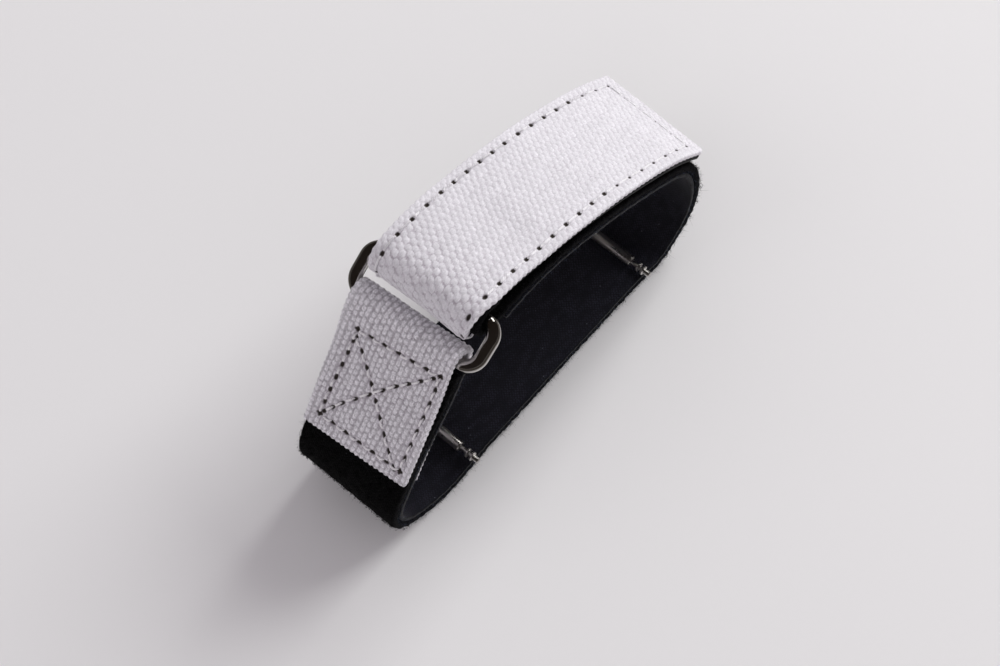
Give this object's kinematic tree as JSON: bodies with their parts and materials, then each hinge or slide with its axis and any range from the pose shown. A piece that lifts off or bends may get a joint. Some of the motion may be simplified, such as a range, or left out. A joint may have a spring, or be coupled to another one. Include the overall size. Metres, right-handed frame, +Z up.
{
  "type": "canvas watch strap",
  "caption": "Canvas touch-close watch strap in a closed loop: ring, folded tail, looped tape, lining and two spring bars for a 20 mm lug width.",
  "frame": {"origin": "middle of the loop's footprint, on the surface that it stands on", "axes": "+X along the loop, towards the tail's free end; +Y across the band; +Z up"},
  "size_m": [0.0749, 0.0256, 0.0482],
  "materials": {
    "pile": "black looped nylon tape, deep and matt",
    "lining": "navy-black fine woven tape",
    "canvas": "white plain-weave canvas",
    "hook": "black hook tape",
    "thread": "white sewing thread",
    "steel": "polished stainless steel"
  },
  "bodies": {
    "band": {"pile_tape": "pile", "lining_tape": "lining", "tab_canvas": "canvas", "fold_canvas": "canvas", "tab_box_thread": "thread", "tab_cross_thread_under": "thread", "tab_cross_thread_over": "thread", "tab_box_bobbin": "thread", "tab_cross_bobbin_under": "thread", "tab_cross_bobbin_over": "thread", "fold_thread_near": "thread", "fold_thread_far": "thread"},
    "ring": {"ring": "steel"},
    "tail": {"tail_canvas": "canvas", "tail_hook_tape": "hook", "tail_thread": "thread", "tail_bobbin": "thread"},
    "bar_a": {"bar_a_tube": "steel", "bar_a_spring": "steel"},
    "bar_a_pin_near": {"bar_a_pin_near": "steel"},
    "bar_a_pin_far": {"bar_a_pin_far": "steel"},
    "bar_b": {"bar_b_tube": "steel", "bar_b_spring": "steel"},
    "bar_b_pin_near": {"bar_b_pin_near": "steel"},
    "bar_b_pin_far": {"bar_b_pin_far": "steel"}
  },
  "joints": [
    {"name": "tail_peel", "type": "hinge", "parent": "band", "child": "tail", "pos_m": [-0.00834, 0, 0.04761], "axis": [0, -1, 0], "range_deg": [0, 160]},
    {"name": "ring_rock", "type": "hinge", "parent": "band", "child": "ring", "pos_m": [-0.01801, 0, 0.03839], "axis": [0, 1, 0], "range_deg": [-2.5, 2.5]},
    {"name": "bar_a_roll", "type": "hinge", "parent": "band", "child": "bar_a", "pos_m": [-0.01914, 0, 0.00437], "axis": [0, 1, 0], "continuous": true},
    {"name": "bar_a_near_press", "type": "slide", "parent": "bar_a", "child": "bar_a_pin_near", "axis": [0, 1, 0], "range_m": [0, 0.001], "stiffness_N_per_m": 1200, "springref_m": -0.0005, "deforming": ["bar_a_spring"]},
    {"name": "bar_a_far_press", "type": "slide", "parent": "bar_a", "child": "bar_a_pin_far", "axis": [0, -1, 0], "range_m": [0, 0.001], "stiffness_N_per_m": 1200, "springref_m": -0.0005, "deforming": ["bar_a_spring"]},
    {"name": "bar_b_roll", "type": "hinge", "parent": "band", "child": "bar_b", "pos_m": [0.02286, 0, 0.00437], "axis": [0, 1, 0], "continuous": true},
    {"name": "bar_b_near_press", "type": "slide", "parent": "bar_b", "child": "bar_b_pin_near", "axis": [0, 1, 0], "range_m": [0, 0.001], "stiffness_N_per_m": 1200, "springref_m": -0.0005, "deforming": ["bar_b_spring"]},
    {"name": "bar_b_far_press", "type": "slide", "parent": "bar_b", "child": "bar_b_pin_far", "axis": [0, -1, 0], "range_m": [0, 0.001], "stiffness_N_per_m": 1200, "springref_m": -0.0005, "deforming": ["bar_b_spring"]}
  ]
}
